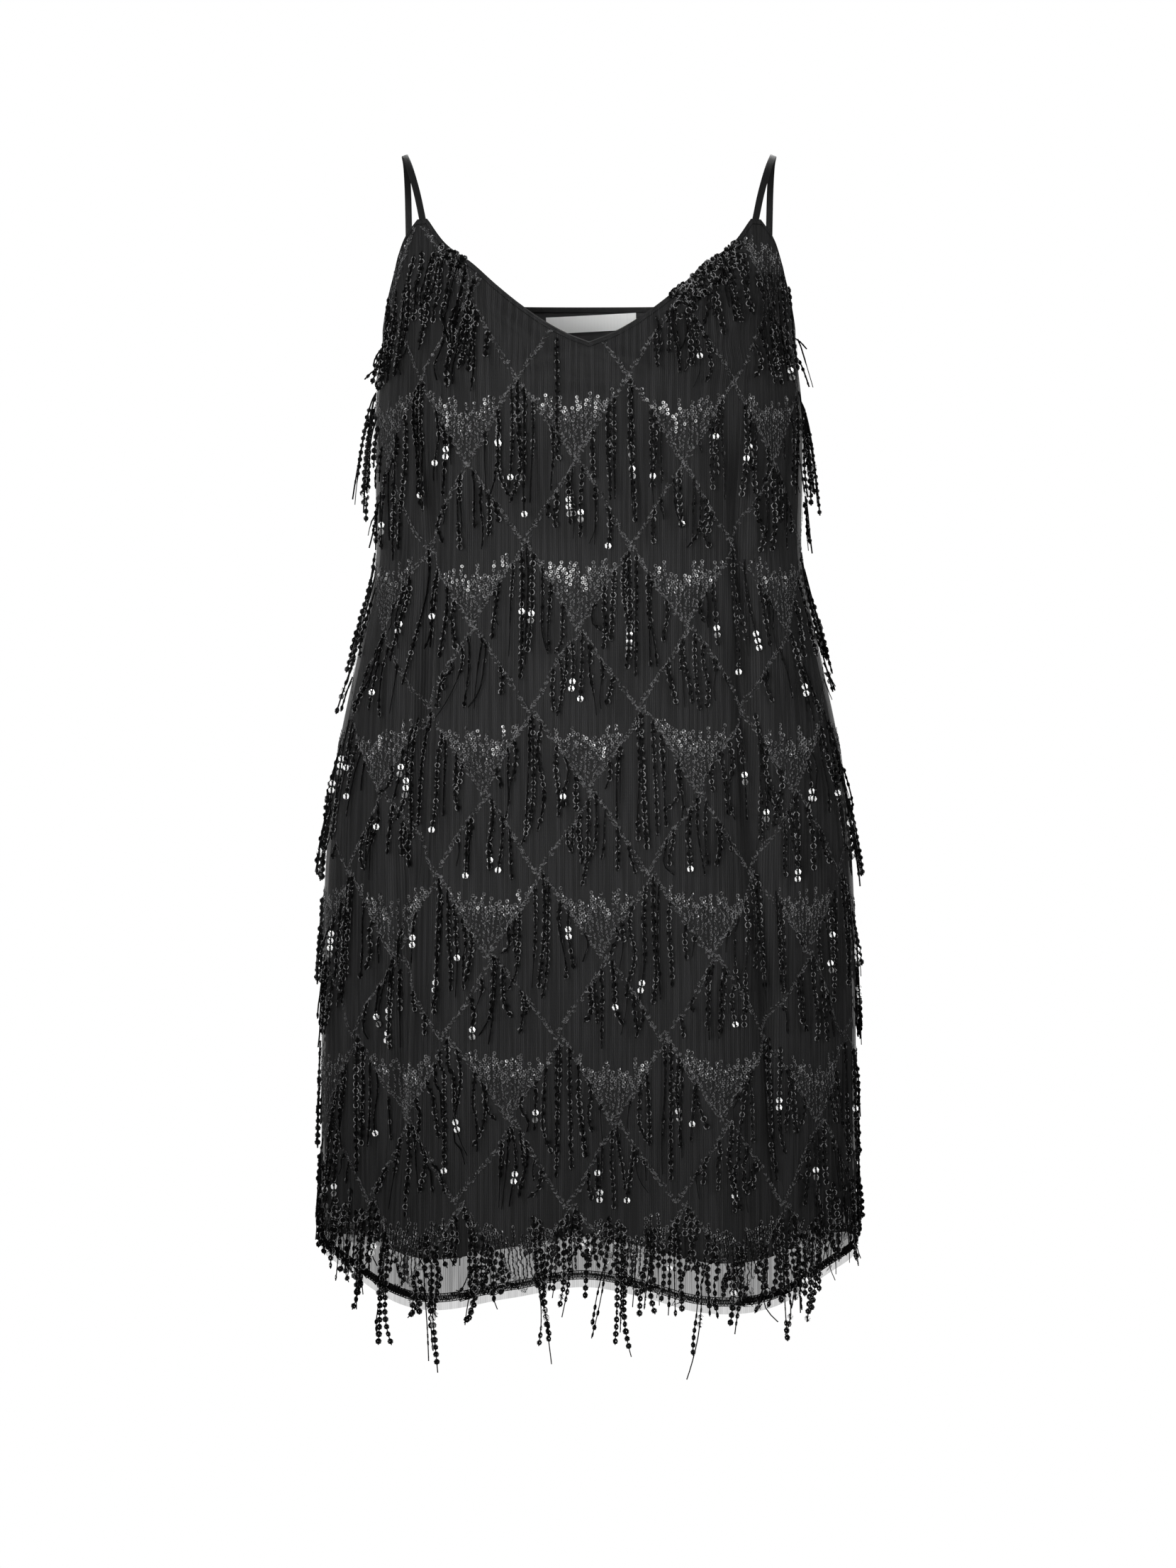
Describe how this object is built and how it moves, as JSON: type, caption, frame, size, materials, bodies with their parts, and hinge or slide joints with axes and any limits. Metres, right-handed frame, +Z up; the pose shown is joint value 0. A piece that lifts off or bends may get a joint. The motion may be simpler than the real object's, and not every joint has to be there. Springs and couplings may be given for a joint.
{
  "type": "slip dress",
  "caption": "Short slip dress with thin straps and a V neck, its sheer overlay hung with rows of sequin fringe on a diamond lattice over a shorter lining.",
  "frame": {"origin": "midway between the tops of the two straps, where the wearer's shoulders hold the dress", "axes": "+Z up, the front faces -Y, +X is the image's right"},
  "size_m": [0.4274, 0.2706, 0.9088],
  "materials": {
    "overlay_mesh": "sheer ribbed mesh",
    "lining": "soft satin",
    "fringe": "glossy sequins on thread",
    "strap": "satin",
    "label": "plain woven"
  },
  "bodies": {
    "root": {"outer_front": "overlay_mesh", "outer_back": "overlay_mesh", "lining_front": "lining", "lining_back": "lining", "back_neck_binding": "lining", "strap_left": "strap", "strap_right": "strap", "neck_label": "label", "fringe_front_01": "fringe", "fringe_front_02": "fringe", "fringe_front_03": "fringe", "fringe_front_04": "fringe", "fringe_front_05": "fringe", "fringe_front_06": "fringe", "fringe_front_07": "fringe", "fringe_front_08": "fringe", "fringe_front_09": "fringe", "fringe_front_10": "fringe", "fringe_front_11": "fringe", "fringe_front_12": "fringe", "fringe_back_01": "fringe", "fringe_back_02": "fringe", "fringe_back_03": "fringe", "fringe_back_04": "fringe", "fringe_back_05": "fringe", "fringe_back_06": "fringe", "fringe_back_07": "fringe", "fringe_back_08": "fringe", "fringe_back_09": "fringe", "fringe_back_10": "fringe", "fringe_back_11": "fringe", "fringe_back_12": "fringe"}
  },
  "joints": []
}
